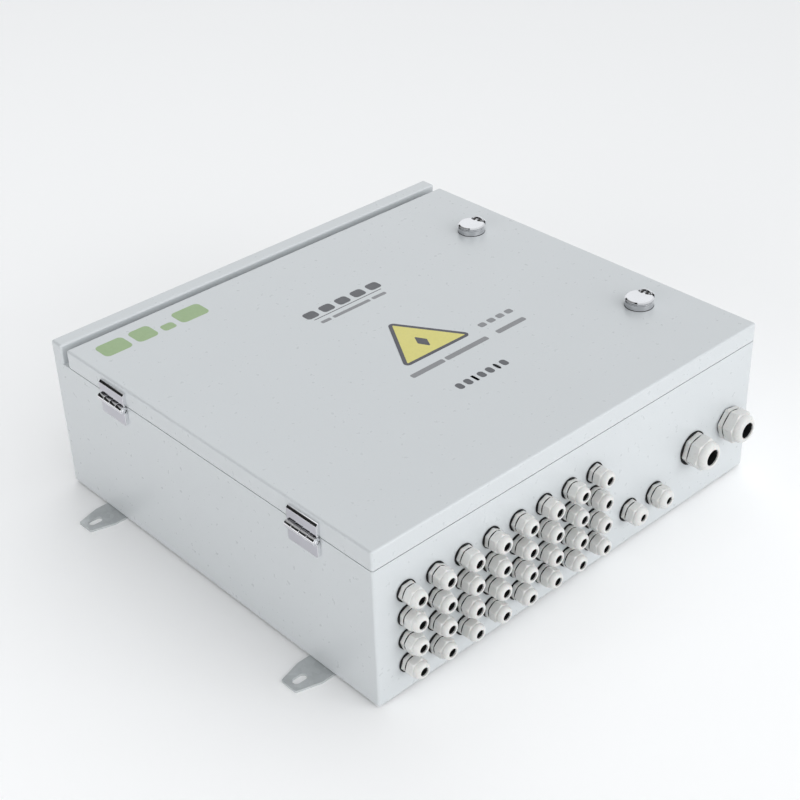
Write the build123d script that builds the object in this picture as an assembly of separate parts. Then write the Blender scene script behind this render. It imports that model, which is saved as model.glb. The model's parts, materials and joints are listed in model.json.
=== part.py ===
"""DC combiner box: a wall cabinet for photovoltaic strings, lying on its back.

Frame: +Z out of the door, +Y towards the rain canopy (up on the wall), +X towards the locks.
The origin is the centre of the four mounting slots, on the underside of the lugs. Millimetres.
"""
import os
from math import sqrt

from build123d import *

os.makedirs("parts", exist_ok=True)

# Cabinet
box_w = 541.0            # across X, hinge side to lock side
box_h = 504.0            # along Y, gland wall to canopy
sheet = 1.5              # folded steel
bend_r = 2.5             # outer radius of every fold
body_depth = 158.5       # back panel to rim
seam = 1.0               # gap between rim and door skirt
door_depth = 20.5        # door face to skirt edge
rim_w = 15.0             # width of the rim, outer face to sealing lip
canopy_depth = 18.5      # along Y
canopy_rise = 22.5       # above the rim
canopy_gap = 10.5        # between canopy and door

# Mounting lugs
lug_t = 2.5
lug_w = 36.0
lug_tip_w = 21.0
lug_reach = 40.5         # beyond the cabinet side
lug_straight = 14.5      # of that reach, before the taper
lug_inboard = 36.0       # under the back panel
lug_y = 171.0
slot_len = 16.0
slot_r = 4.5
slot_reach = 27.0        # slot centre beyond the cabinet side
lug_screw_r = 3.0
lug_screw_head_r = 5.0
lug_screw_head_h = 2.0

# Heights that the rest hangs on
z_back = lug_t
z_floor = z_back + sheet
z_rim = z_back + body_depth
z_skirt = z_rim + seam
z_face = z_skirt + door_depth
z_pan = z_face - sheet
z_canopy = z_rim + canopy_rise
split_y = -box_h / 2 + bend_r + 0.5      # where the gland wall is welded to the rest

# Sides of the cabinet and of the door
side = box_w / 2
wall_y = -box_h / 2
top_y = box_h / 2
canopy_y = top_y - canopy_depth
door_y0 = wall_y
door_y1 = canopy_y - canopy_gap
lip_x = side - rim_w
lip_y0 = door_y0 + rim_w
lip_y1 = door_y1 - rim_w
gasket_h = 9.0
gasket_w = 10.0
z_lip = z_pan - gasket_h - 0.3

# Hinges
hinge_axis_x = -side - 4.3
hinge_axis_z = z_rim - 2.5
hinge_y = (137.0, -162.5)
hinge_w = 42.0
leaf_t = 4.0
leaf_h = 14.3
knuckle_r = 4.0
pin_r = 2.3
knuckles = 4
knuckle_gap = 0.3
hinge_stud_r = 2.5
hinge_stud_pitch = 24.0
leaf_clear = 0.45
leaf_bevel = 2.6         # along the outer edge of the door leaf
leaf_corner_r = 2.5

# Door locks
lock_xy = ((215.0, 112.0), (215.5, -140.0))
lock_names = ("upper", "lower")
lock_r = 15.75
lock_h = 7.6             # housing above the door
lock_turn = 9.0          # the hinge side of each lock, from +X towards +Y
lock_barrel_r = 10.0
plug_r = 7.5
running = 0.1            # radial clearance round a turning plug
cam_t = 3.0
cam_len = 50.0
cam_w = 18.0
cam_z = z_rim - sheet - 0.8 - cam_t
cam_square = 8.0
cover_t = 2.0
cover_gap = 0.3
cover_axis_x = 12.0
cover_axis_z = z_face + lock_h + cover_gap + 1.0
cover_pin_r = 0.8
cover_ear_y = 4.7
cover_ear_t = 1.5
arch_inner_r = 14.5      # thin arch on the housing's rim, behind the cover's hinge
arch_half = 10.1
arch_rise = 4.2
recess_x, recess_r = 8.2, 17.5          # curved front edge of the hinge recess
guard_r0, guard_r1 = 16.5, 17.5         # short outer wall behind the arch
guard_y0, guard_y1 = -11.0, 4.0
guard_rise = 2.4

# Cable glands: thread radius, bore radius, hexagon across flats, washer radius, length outside
string_gland = dict(thread_r=7.5, bore_r=4.4, flats=19.0, washer_r=10.8, length=22.0)
earth_gland = dict(thread_r=9.0, bore_r=4.0, flats=22.0, washer_r=12.2, length=21.5)
main_gland = dict(thread_r=14.0, bore_r=9.0, flats=33.0, washer_r=19.6, length=27.5)
string_cols, string_rows = 8, 4
string_x0, string_pitch_x = -232.7, 35.84
string_z0, string_pitch_z = z_back + 33.8, 27.8
earth_at = ((74.6, z_back + 41.8), (115.6, z_back + 41.8))
main_at = ((176.3, z_back + 68.2), (234.8, z_back + 74.0))
washer_t = 1.5
thread_inside = 9.0      # thread beyond the wall's outer face
hole_clear = 0.15

# Equipment plate and rail
plate_w, plate_y0, plate_y1, plate_t = 470.0, -168.0, 200.0, 2.0
standoff_h = 14.0
z_plate = z_floor + standoff_h
z_deck = z_plate + plate_t
rail_y, rail_w, rail_h, rail_t = 68.0, 35.0, 7.5, 1.0
rail_x0, rail_x1 = -225.0, 132.0

# Fuse holders: two poles each
fuse_units = 8
fuse_pitch = 36.0
fuse_x0 = -197.0
fuse_len = 78.0
fuse_z0 = z_deck + rail_h + 0.2
fuse_top = fuse_z0 + 46.0
fuse_axis_y = rail_y - 20.0
fuse_axis_z = fuse_top - 4.0
carrier_r = 44.0
carrier_low = 20.0
carrier_w = 28.8
carrier_gap = 0.5
fuse_link_r, fuse_link_len = 5.15, 38.0

# Breaker
breaker_x0, breaker_x1 = 138.0, 230.0
breaker_y0, breaker_y1 = -142.0, 13.0
breaker_h = 68.0
handle_axis_y, handle_axis_z = -64.0, z_deck + 52.0
handle_lean = 22.0

# Surge arrester
spd_x, spd_y = 108.0, 68.0
spd_base_h = 22.0
cartridge_w, cartridge_len, cartridge_h = 17.4, 44.0, 46.0

# Busbars
bar_w, bar_t = 15.0, 3.0
bar_z = z_deck + 25.0
bar_y = (137.0, 177.0)
bar_x0 = -215.0
bar_leg_x = (157.5, 212.5)
bar_end_y = breaker_y1 - 14.0


def block(x0, x1, y0, y1, z0, z1):
    """A box between two corners."""
    return Pos((x0 + x1) / 2, (y0 + y1) / 2, (z0 + z1) / 2) * Box(x1 - x0, y1 - y0, z1 - z0)


def rod(x, y, z0, z1, r):
    """A round bar along Z."""
    return Pos(x, y, (z0 + z1) / 2) * Cylinder(r, z1 - z0)


def rod_y(x, z, y0, y1, r):
    """A round bar along Y."""
    return Pos(x, (y0 + y1) / 2, z) * Rot(90, 0, 0) * Cylinder(r, y1 - y0)


def rod_x(y, z, x0, x1, r):
    """A round bar along X."""
    return Pos((x0 + x1) / 2, y, z) * Rot(0, 90, 0) * Cylinder(r, x1 - x0)


def prism(points, z0, z1):
    """A straight prism on an outline in the XY plane."""
    face = make_face(Polyline(*points, close=True))
    return extrude(Pos(0, 0, z0) * face, z1 - z0, dir=(0, 0, 1))


def hexagon(flats, z0, z1, turn=0.0):
    """A hexagonal bar along Z, measured across its flats."""
    face = RegularPolygon(flats / 2, 6, major_radius=False)
    return Pos(0, 0, z0) * Rot(0, 0, turn) * extrude(face, z1 - z0)


def turned(points):
    """A body of revolution about Z from (radius, height) points."""
    face = make_face(Polyline(*[(r, 0, z) for r, z in points], close=True))
    return revolve(face, Axis.Z, 360)


def tube(r_out, r_in, z0, z1):
    """A ring along Z."""
    return rod(0, 0, z0, z1, r_out) - rod(0, 0, z0 - 1, z1 + 1, r_in)


def frame_ring(x1, y0, y1, z0, z1, width):
    """A rectangular ring about x = 0, its width measured inward."""
    hole = block(width - x1, x1 - width, y0 + width, y1 - width, z0 - 1, z1 + 1)
    return block(-x1, x1, y0, y1, z0, z1) - hole


def edges_at(shape, axis, *tests):
    """Edges along an axis whose centre passes every test."""
    return [e for e in shape.edges().filter_by(axis) if all(t(e.center()) for t in tests)]


def save(name, *solids):
    """Write one node, made of one or more separate solids."""
    flat = [s for shape in solids for s in shape.solids()]
    export_step(Compound(flat), os.path.join("parts", name + ".step"))


def rounded_box(x1, y0, y1, z0, z1, r, up):
    """A box about x = 0 with its upright edges and its edges at one end of Z rounded."""
    shape = block(-x1, x1, y0, y1, z0, z1)
    shape = fillet(shape.edges().filter_by(Axis.Z), r)
    end = shape.faces().sort_by(Axis.Z)[-1 if up else 0]
    return fillet(end.edges(), r * 0.9)


# ---------------------------------------------------------------- positions that repeat

string_at = [(string_x0 + string_pitch_x * i, string_z0 + string_pitch_z * j)
             for i in range(string_cols) for j in range(string_rows)]
lug_at = [(sx, sy) for sx in (-1, 1) for sy in (-1, 1)]
lug_screw_reach = (9.0, 26.0)    # inboard of the cabinet side
plate_stud_at = [(x, y) for x in (-224.0, 224.0) for y in (plate_y0 + 14, plate_y1 - 14)]
hinge_stud_at = [y + dy for y in hinge_y for dy in (-hinge_stud_pitch / 2, hinge_stud_pitch / 2)]
z_cabinet_stud = hinge_axis_z - knuckle_r - leaf_clear - leaf_h / 2
z_door_stud = hinge_axis_z + knuckle_r + leaf_clear + leaf_h / 2


# ---------------------------------------------------------------- cabinet

def cabinet_shell():
    """Folded back, four walls and rim with its sealing lip, before it is cut in two."""
    outer = rounded_box(side, wall_y, top_y, z_back, z_rim, bend_r, up=False)
    inside = block(-side + sheet, side - sheet, wall_y + sheet, top_y - sheet,
                   z_floor, z_rim - sheet)
    opening = block(-lip_x + sheet, lip_x - sheet, lip_y0 + sheet, lip_y1 - sheet,
                    z_rim - 5, z_rim + 1)
    under_canopy = block(-side + sheet, side - sheet, canopy_y + sheet, top_y - sheet,
                         z_rim - 5, z_rim + 1)
    lip = frame_ring(lip_x, lip_y0, lip_y1, z_rim - sheet, z_lip, sheet)
    return outer - inside - opening - under_canopy + lip


def cabinet_body():
    """Back, side walls, top wall and rim, pierced for the lug screws and hinge studs."""
    shell = cabinet_shell() & block(-side, side, split_y, top_y, 0, z_lip)
    cuts = [rod(sx * (side - reach), sy * lug_y, z_back - 1, z_floor + 1, lug_screw_r + 0.1)
            for sx, sy in lug_at for reach in lug_screw_reach]
    cuts += [rod_x(y, z_cabinet_stud, -side - 1, -side + 3, hinge_stud_r + 0.1)
             for y in hinge_stud_at]
    return shell - cuts


def gland_wall():
    """Bottom wall with its folded edges, pierced for every gland."""
    wall = cabinet_shell() & block(-side, side, wall_y, split_y, 0, z_lip)
    return wall - [rod_y(x, z, wall_y - 1, wall_y + 3, spec["thread_r"] + hole_clear)
                   for spec, places in gland_sets() for x, z in places]


def rain_canopy():
    """Hollow hood along the top wall, open towards the inside of the cabinet."""
    hood = block(-side, side, canopy_y, top_y, z_rim, z_canopy)
    hood = fillet(edges_at(hood, Axis.X, lambda c: c.Z > z_rim + 1), bend_r)
    hood = fillet(edges_at(hood, Axis.Z, lambda c: c.Y > canopy_y + 1), bend_r)
    return hood - block(-side + sheet, side - sheet, canopy_y + sheet, top_y - sheet,
                        z_rim - 1, z_canopy - sheet)


def gland_sets():
    """Each gland size with the places it sits at on the gland wall."""
    return (string_gland, string_at), (earth_gland, earth_at), (main_gland, main_at)


def mounting_lug():
    """Right-hand upper lug: a flat tongue with a slot and two countersunk holes."""
    x_in, x_box = side - lug_inboard, side
    x_bend, x_tip = x_box + lug_straight, x_box + lug_reach
    half, tip = lug_w / 2, lug_tip_w / 2
    outline = [(x_in, -half), (x_bend, -half), (x_tip, -tip), (x_tip, tip), (x_bend, half),
               (x_in, half)]
    lug = prism(outline, 0, lug_t)
    lug = fillet(edges_at(lug, Axis.Z, lambda c: c.X > x_bend - 1), 2.0)
    slot = extrude(Pos(x_box + slot_reach, 0, -1) * SlotOverall(slot_len, 2 * slot_r), lug_t + 2)
    return lug - slot - [Pos(side - reach, 0, 0) * screw_profile(0.1, lug_t + 1)
                         for reach in lug_screw_reach]


def screw_profile(grow, z_end):
    """A countersunk screw standing on z = 0, its radii grown by a clearance."""
    head, shank = lug_screw_head_r + grow, lug_screw_r + grow
    return turned([(0, 0), (head, 0), (shank, lug_screw_head_h), (shank, z_end), (0, z_end)])


def lug_screw():
    """Countersunk screw from under the lug, with a hexagon socket."""
    return screw_profile(0, z_floor + 7.0) - hexagon(4.0, -1, lug_screw_head_h)


def lug_places():
    """The four lug locations: right ones upright, left ones turned half way round."""
    return [Pos(0, sy * lug_y, 0) * Rot(0, 0, 0 if sx > 0 else 180) for sx, sy in lug_at]


def nut(flats, hole_r, height):
    """A hexagon nut standing on z = 0."""
    return hexagon(flats, 0, height) - rod(0, 0, -1, height + 1, hole_r)


def cabinet_nuts():
    """Nuts inside the cabinet on the lug screws and the hinge studs."""
    on_lugs = [Pos(sx * (side - reach), sy * lug_y, z_floor) * nut(10.0, lug_screw_r, 5.0)
               for sx, sy in lug_at for reach in lug_screw_reach]
    on_hinges = [Pos(-side + sheet, y, z_cabinet_stud) * Rot(0, 90, 0) * nut(8.0, hinge_stud_r, 4.0)
                 for y in hinge_stud_at]
    return on_lugs + on_hinges


# ---------------------------------------------------------------- cable glands

def gland_washer(spec):
    """Sealing ring between the hexagon and the wall; z runs out of the wall."""
    ring = tube(spec["washer_r"], spec["thread_r"] + hole_clear, 0, washer_t)
    rim = ring.edges().filter_by(GeomType.CIRCLE).sort_by(SortBy.RADIUS)[-2:]
    return fillet(rim, 0.4)


def gland_levels(spec):
    """Heights along a gland: flange top, nut start, end of the body, and seal front."""
    flange = washer_t + 0.18 * spec["length"]
    body_end = 0.55 * spec["length"]
    return flange, flange + 0.6, body_end, spec["length"] - 2.0


def gland_body(spec):
    """Threaded tube with a hexagonal flange outside the wall."""
    flange, _, body_end, _ = gland_levels(spec)
    corner = spec["flats"] / sqrt(3)
    chamfered = turned([(0, washer_t), (corner, washer_t), (corner, flange - 0.6),
                        (corner - 0.9, flange), (0, flange)])
    hexed = hexagon(spec["flats"], washer_t, flange) & chamfered
    thread = rod(0, 0, -thread_inside, washer_t + 0.1, spec["thread_r"])
    neck = rod(0, 0, flange - 0.1, body_end, spec["thread_r"] - 0.3)
    return hexed + thread + neck - rod(0, 0, -20, 40, spec["bore_r"])


def gland_nut(spec):
    """Domed compression nut: hexagon with chamfered corners, then a rounded nose."""
    _, start, body_end, seal_front = gland_levels(spec)
    length, corner, af = spec["length"], spec["flats"] / sqrt(3), spec["flats"] / 2
    hex_end = 0.71 * length
    dome_r, nose_r = af - 0.3, spec["bore_r"] + 1.8
    flank = Polyline((nose_r, 0, length), (0, 0, length), (0, 0, start), (corner - 0.5, 0, start),
                     (corner, 0, start + 0.5), (corner, 0, hex_end - 0.7),
                     (dome_r, 0, hex_end + 0.7))
    swell = 0.72             # how far the dome's middle lies towards its square corner
    dome = ThreePointArc((dome_r, 0, hex_end + 0.7),
                         (nose_r + swell * (dome_r - nose_r), 0,
                          hex_end + 0.7 + swell * (length - hex_end - 0.7)),
                         (nose_r, 0, length))
    outer = revolve(make_face(flank + dome), Axis.Z, 360)
    cavity_r = spec["thread_r"] - 0.2
    cavity = turned([(0, start - 1), (cavity_r, start - 1), (cavity_r, body_end),
                     (spec["bore_r"] + 1.6, seal_front), (spec["bore_r"] + 0.3, seal_front),
                     (spec["bore_r"] + 0.8, length + 1), (0, length + 1)])
    return (outer & hexagon(spec["flats"], start - 1, length + 1)) - cavity


def gland_seal(spec):
    """Rubber sleeve in front of the body, inside the nut."""
    _, _, body_end, seal_front = gland_levels(spec)
    return turned([(spec["bore_r"], body_end), (spec["thread_r"] - 0.4, body_end),
                   (spec["bore_r"] + 1.4, seal_front), (spec["bore_r"], seal_front)])


def gland_locknut(spec):
    """Thin hexagon nut against the inside of the wall."""
    ring = hexagon(spec["flats"] + 3.0, -sheet - 4.5, -sheet)
    return ring - rod(0, 0, -20, 20, spec["thread_r"])


def placed_glands(make, sets):
    """One piece of every gland in the sets, its flats at an arbitrary turn."""
    pieces = []
    for spec, places in sets:
        piece = make(spec)
        for k, (x, z) in enumerate(places):
            seat = Plane(origin=(x, wall_y, z), x_dir=(1, 0, 0), z_dir=(0, -1, 0)).location
            pieces.append(seat * Rot(0, 0, (k * 37 + 11) % 60) * piece)
    return pieces


def save_glands():
    """Bodies and nuts of the string and the outlet glands, then what all of them share."""
    sets = gland_sets()
    for kind, make in (("bodies", gland_body), ("nuts", gland_nut)):
        save("string_gland_" + kind, *placed_glands(make, sets[:1]))
        save("outlet_gland_" + kind, *placed_glands(make, sets[1:]))
    save("gland_washers", *placed_glands(gland_washer, sets))
    save("gland_seals", *placed_glands(gland_seal, sets))
    save("gland_locknuts", *placed_glands(gland_locknut, sets))


# ---------------------------------------------------------------- hinges

def hinge_leaf(y, up):
    """One leaf with its plate, two knuckles and two studs; up is 1 on the door, -1 on the cabinet."""
    near = hinge_axis_z + up * (knuckle_r + leaf_clear)
    far = near + up * leaf_h
    z0, z1 = min(near, far), max(near, far)
    plate = block(-side - leaf_t, -side, y - hinge_w / 2, y + hinge_w / 2, z0, z1)
    long_edge = edges_at(plate, Axis.Y, lambda c: c.X < -side - 1 and abs(c.Z - far) < 1)
    if up > 0:
        plate = chamfer(long_edge, leaf_bevel)
    else:
        plate = fillet(edges_at(plate, Axis.X, lambda c: abs(c.Z - far) < 1), leaf_corner_r)
    ends = edges_at(plate, Axis.Z, lambda c: c.X < -side - 1)
    plate = chamfer(ends, 0.5)
    step = hinge_w / knuckles
    leaf = plate
    for k in range(0 if up < 0 else 1, knuckles, 2):
        y0 = y - hinge_w / 2 + k * step + knuckle_gap / 2
        y1 = y0 + step - knuckle_gap
        web_z = sorted((hinge_axis_z, near + up))
        leaf += rod_y(hinge_axis_x, hinge_axis_z, y0, y1, knuckle_r)
        leaf += block(hinge_axis_x + 0.5, hinge_axis_x + knuckle_r - 0.2, y0, y1, *web_z)
    leaf -= rod_y(hinge_axis_x, hinge_axis_z, y - hinge_w, y + hinge_w, pin_r + 0.06)
    z_stud = z_door_stud if up > 0 else z_cabinet_stud
    for dy in (-hinge_stud_pitch / 2, hinge_stud_pitch / 2):
        leaf += rod_x(y + dy, z_stud, -side - 1, -side + 8, hinge_stud_r)
    return leaf


def hinge_pin(y):
    """Plain pin, a little longer than the barrel, with eased ends."""
    pin = rod_y(hinge_axis_x, hinge_axis_z, y - hinge_w / 2 - 0.6, y + hinge_w / 2 + 1.4, pin_r)
    return chamfer(pin.edges().filter_by(GeomType.CIRCLE), 0.5)


# ---------------------------------------------------------------- door

def door_panel():
    """Folded pan with holes for the locks and the hinge studs."""
    pan = rounded_box(side, door_y0, door_y1, z_skirt, z_face, bend_r, up=True)
    pan -= block(-side + sheet, side - sheet, door_y0 + sheet, door_y1 - sheet,
                 z_skirt - 1, z_pan)
    cuts = [rod(x, y, z_pan - 1, z_face + 1, lock_barrel_r + 0.1) for x, y in lock_xy]
    cuts += [rod_x(y, z_door_stud, -side - 1, -side + 3, hinge_stud_r + 0.1)
             for y in hinge_stud_at]
    return pan - cuts


def door_gasket():
    """Foam ring that the sealing lip meets."""
    grow = (gasket_w - sheet) / 2
    return frame_ring(lip_x + grow, lip_y0 - grow, lip_y1 + grow, z_pan - gasket_h, z_pan,
                      gasket_w)


def door_stiffener(x):
    """Hat-section rail under the door face, along Y."""
    width, height, brim, gauge = 24.0, 9.0, 8.0, 1.5
    y0, y1 = lip_y0 + 14, lip_y1 - 14
    hat = block(x - width / 2, x + width / 2, y0, y1, z_pan - height, z_pan)
    hat -= block(x - width / 2 + gauge, x + width / 2 - gauge, y0 - 1, y1 + 1,
                 z_pan - height + gauge, z_pan + 1)
    for sx in (-1, 1):
        inner = x + sx * (width / 2 - 0.1)
        outer = x + sx * (width / 2 + brim)
        hat += block(min(inner, outer), max(inner, outer), y0, y1, z_pan - gauge, z_pan)
    return hat


def door_nuts():
    """Hinge stud nuts and the two large lock nuts, all inside the door."""
    on_hinges = [Pos(-side + sheet, y, z_door_stud) * Rot(0, 90, 0) * nut(8.0, hinge_stud_r, 4.0)
                 for y in hinge_stud_at]
    on_locks = [Pos(x, y, z_pan - 5.0) * nut(26.0, lock_barrel_r, 5.0) for x, y in lock_xy]
    return on_hinges + on_locks


def warning_label():
    """Thin triangular sticker with rounded corners."""
    corners = [(0.5, 24.0), (49.0, -54.5), (-47.0, -54.5)]
    plate = prism(corners, z_face, z_face + 0.2)
    return fillet(plate.edges().filter_by(Axis.Z), 5.0)


# ---------------------------------------------------------------- locks, about their own axis

def hinge_recess(z0, z1, grow=0.0):
    """What the dust cover's hinge takes out of a disc: beyond a curve that bulges inwards."""
    return rod(recess_x + recess_r, 0, z0, z1, recess_r + grow)


def lock_housing():
    """Chromed collar and barrel, a recess for the dust cover's hinge, an arch and a guard."""
    top, floor = lock_h, lock_h - 3.3
    groove, groove_z = 0.5, lock_h - 1.7
    collar = turned([(plug_r + running, 0), (lock_r, 0), (lock_r, groove_z),
                     (lock_r - groove, groove_z + 0.3), (lock_r - groove, groove_z + 0.8),
                     (lock_r, groove_z + 1.1), (lock_r, top - 0.2),
                     (lock_r - 0.2, top), (12.0, top), (12.0, floor), (plug_r + running, floor)])
    barrel = tube(lock_barrel_r, plug_r + running, -18.5, 0.5)
    recess = hinge_recess(floor, top + 1) & rod(0, 0, floor, top + 1, arch_inner_r)
    arch_r = (arch_half ** 2 + arch_rise ** 2) / (2 * arch_rise)
    arch = (tube(lock_r, arch_inner_r, top - 0.5, top + arch_rise)
            & rod_x(0, top + arch_rise - arch_r, 9.0, lock_r + 1, arch_r))
    guard = (tube(guard_r1, guard_r0, top - 2.0, top + guard_rise)
             + tube(guard_r0 + 0.2, lock_r - 0.2, top - 2.0, top - 1.0))
    guard = guard & block(9.0, guard_r1 + 1, guard_y0, guard_y1, 0, top + guard_rise)
    shell = collar + barrel - recess + arch + guard
    axis_z = cover_axis_z - z_face
    for sy in (-1, 1):
        y0, y1 = sorted((sy * cover_ear_y, sy * (cover_ear_y + cover_ear_t)))
        ear = block(cover_axis_x - 1.5, cover_axis_x + 1.5, y0, y1, floor - 0.1, axis_z)
        shell += ear + rod_y(cover_axis_x, axis_z, y0, y1, 1.5)
    return shell - rod_y(cover_axis_x, axis_z, -arch_half, arch_half, cover_pin_r)


def lock_plug():
    """Keyed plug with a square tail for the cam."""
    head = rod(0, 0, lock_h - 3.2, lock_h - 0.6, 11.0)
    tail_end = cam_z - z_face - 2.0
    stem = rod(0, 0, -21.0, lock_h - 3.0, plug_r)
    tail = block(-cam_square / 2, cam_square / 2, -cam_square / 2, cam_square / 2,
                 tail_end, -20.5)
    keyway = block(-0.9, 0.9, -4.2, 4.2, lock_h - 9, lock_h + 1)
    return head + stem + tail - keyway


def lock_cam():
    """Flat cam towards -Y, square hole in line with the plug, and its retaining screw."""
    z0 = cam_z - z_face
    blade = extrude(Pos(0, -(cam_len - cam_w / 2) / 2, z0)
                    * Rot(0, 0, 90) * SlotOverall(cam_len + cam_w / 2, cam_w), cam_t)
    hole = cam_square / 2 + 0.02
    blade -= Rot(0, 0, lock_turn) * block(-hole, hole, -hole, hole, z0 - 1, z0 + cam_t + 1)
    screw = rod(0, 0, z0 - 4.0, z0 - 2.0, 6.5)
    return [blade, hexagon(7.0, z0 - 6.5, z0 - 4.0) + screw]


def dust_cover():
    """Bevelled disc, cut back for the hinge, with a web and knuckle round the pin."""
    z0 = lock_h + cover_gap
    z1 = z0 + cover_t
    r = lock_r - 0.15
    disc = turned([(0, z0), (r, z0), (r, z1 - 1.1), (r - 1.6, z1), (0, z1)])
    disc -= hinge_recess(z0 - 1, z1 + 1, 0.3)
    axis_z = cover_axis_z - z_face
    web = block(recess_x - 0.5, cover_axis_x, -1.5, 1.5, z0 + 0.1, z1 - 0.1)
    knuckle = rod_y(cover_axis_x, axis_z, -1.5, 1.5, 1.5)
    pin_hole = rod_y(cover_axis_x, axis_z, -arch_half, arch_half, cover_pin_r + 0.06)
    return disc + web + knuckle - pin_hole


def dust_cover_spring():
    """Two short coils round the pin, one each side of the web."""
    coils = []
    for sy in (-1, 1):
        inner, wire, turns = cover_pin_r + 0.05, 0.42, 4
        points = [(inner, 0)]
        for k in range(turns):
            z = k * 2 * wire * 0.8
            points += [(inner + wire, z), (inner + 2 * wire, z + 0.4 * wire),
                       (inner + 2 * wire, z + 1.2 * wire)]
        points += [(inner, points[-1][1] + 0.3)]
        coil = turned(points)
        coils.append(Pos(cover_axis_x, sy * 1.7, cover_axis_z - z_face) * Rot(-90 * sy, 0, 0) * coil)
    return coils


def save_locks():
    """Housings, pins and springs as pairs; plugs, cams and covers one node each."""
    seats = [Pos(x, y, z_face) * Rot(0, 0, lock_turn) for x, y in lock_xy]
    axis_z = cover_axis_z - z_face
    ear_end = cover_ear_y + cover_ear_t + 0.2
    save("lock_housings", *[s * lock_housing() for s in seats])
    save("dust_cover_pins",
         *[s * rod_y(cover_axis_x, axis_z, -ear_end, ear_end, cover_pin_r) for s in seats])
    save("dust_cover_springs", *[s * coil for s in seats for coil in dust_cover_spring()])
    for name, s in zip(lock_names, seats):
        save(f"lock_plug_{name}", s * lock_plug())
        save(f"lock_cam_{name}", *[s * Rot(0, 0, -lock_turn) * piece for piece in lock_cam()])
        save(f"dust_cover_{name}", s * dust_cover())


# ---------------------------------------------------------------- equipment inside

def mounting_plate():
    """Galvanised plate on four studs, with a folded edge along both sides."""
    half = plate_w / 2
    plate = block(-half, half, plate_y0, plate_y1, z_plate, z_deck)
    for sx in (-1, 1):
        x0, x1 = sorted((sx * half, sx * (half - plate_t)))
        plate += block(x0, x1, plate_y0, plate_y1, z_deck - 0.5, z_deck + 8)
    return plate - [rod(x, y, z_plate - 1, z_deck + 1, 4.2) for x, y in plate_stud_at]


def plate_studs():
    """Studs with a shoulder on the back panel, each with its nut."""
    studs = [rod(x, y, z_floor, z_plate, 8.0) + rod(x, y, z_plate - 1, z_deck + 12, 4.0)
             for x, y in plate_stud_at]
    nuts = [Pos(x, y, z_deck) * nut(13.0, 4.0, 6.5) for x, y in plate_stud_at]
    return studs + nuts


def din_rail():
    """Top-hat rail along X."""
    half, inner = rail_w / 2, rail_w / 2 - 4.0
    z1 = z_deck + rail_h
    rail = block(rail_x0, rail_x1, rail_y - inner, rail_y + inner, z_deck, z_deck + rail_t)
    for sy in (-1, 1):
        y0, y1 = sorted((rail_y + sy * inner, rail_y + sy * (inner - rail_t)))
        rail += block(rail_x0, rail_x1, y0, y1, z_deck, z1)
        y0, y1 = sorted((rail_y + sy * half, rail_y + sy * (inner - rail_t)))
        rail += block(rail_x0, rail_x1, y0, y1, z1 - rail_t, z1)
    return rail


def carrier_sweep(x, grow, z_top, w):
    """The space a fuse carrier turns in: a bounded sector about its axis, grown by a gap."""
    r = carrier_r + grow
    whole = rod_x(fuse_axis_y, fuse_axis_z, x - w / 2, x + w / 2, r)
    return whole & block(x - w, x + w, fuse_axis_y, fuse_axis_y + r + 1,
                         fuse_axis_z - carrier_low - grow, z_top)


def fuse_base(x):
    """Moulded two-pole base: stepped block with a well for the carrier."""
    y0, y1 = rail_y - fuse_len / 2, rail_y + fuse_len / 2
    w = fuse_pitch - 0.4
    base = block(x - w / 2, x + w / 2, y0, y1, fuse_z0, fuse_top - 14)
    base += block(x - w / 2, x + w / 2, y0 + 11, y1 - 11, fuse_top - 16, fuse_top)
    well_w = carrier_w + 2 * carrier_gap
    base -= carrier_sweep(x, carrier_gap, fuse_top + 5, well_w)
    base -= block(x - well_w / 2, x + well_w / 2, fuse_axis_y - 5.5, fuse_axis_y + 0.1,
                  fuse_axis_z - carrier_low - carrier_gap, fuse_top + 1)
    base -= rod_x(fuse_axis_y, fuse_axis_z, x - well_w / 2 - 2.2, x + well_w / 2 + 2.2, 2.1)
    for sx in (-1, 1):
        pole = x + sx * fuse_pitch / 4
        for y in (y0 + 5.5, y1 - 5.5):
            base -= rod(pole, y, fuse_top - 22, fuse_top, 3.2)
    return base


def fuse_carrier(x):
    """Tilting carrier for two links: a sector about its pivot with a grip on top."""
    body = carrier_sweep(x, 0, fuse_axis_z + 3.5, carrier_w)
    body += rod_x(fuse_axis_y, fuse_axis_z, x - carrier_w / 2, x + carrier_w / 2, 4.5)
    trunnion = carrier_w / 2 + carrier_gap + 2.0
    body += rod_x(fuse_axis_y, fuse_axis_z, x - trunnion, x + trunnion, 2.0)
    body += block(x - carrier_w / 2, x + carrier_w / 2, fuse_axis_y + 24, fuse_axis_y + 38,
                  fuse_axis_z + 3, fuse_axis_z + 11)
    for pole in fuse_poles(x):
        body -= rod_y(pole, fuse_link_z(), fuse_axis_y - 10, fuse_axis_y + 60, fuse_link_r)
    return body


def fuse_poles(x):
    """The two link positions across a carrier."""
    return x - 7.0, x + 7.0


def fuse_link_z():
    """Height of the links at rest."""
    return fuse_axis_z - 12.0


def fuse_links(x):
    """Cylindrical links: ceramic body between two end caps, each in one piece."""
    y0 = fuse_axis_y + 1.5
    return [rod_y(pole, fuse_link_z(), y0, y0 + fuse_link_len, fuse_link_r)
            for pole in fuse_poles(x)]


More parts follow.
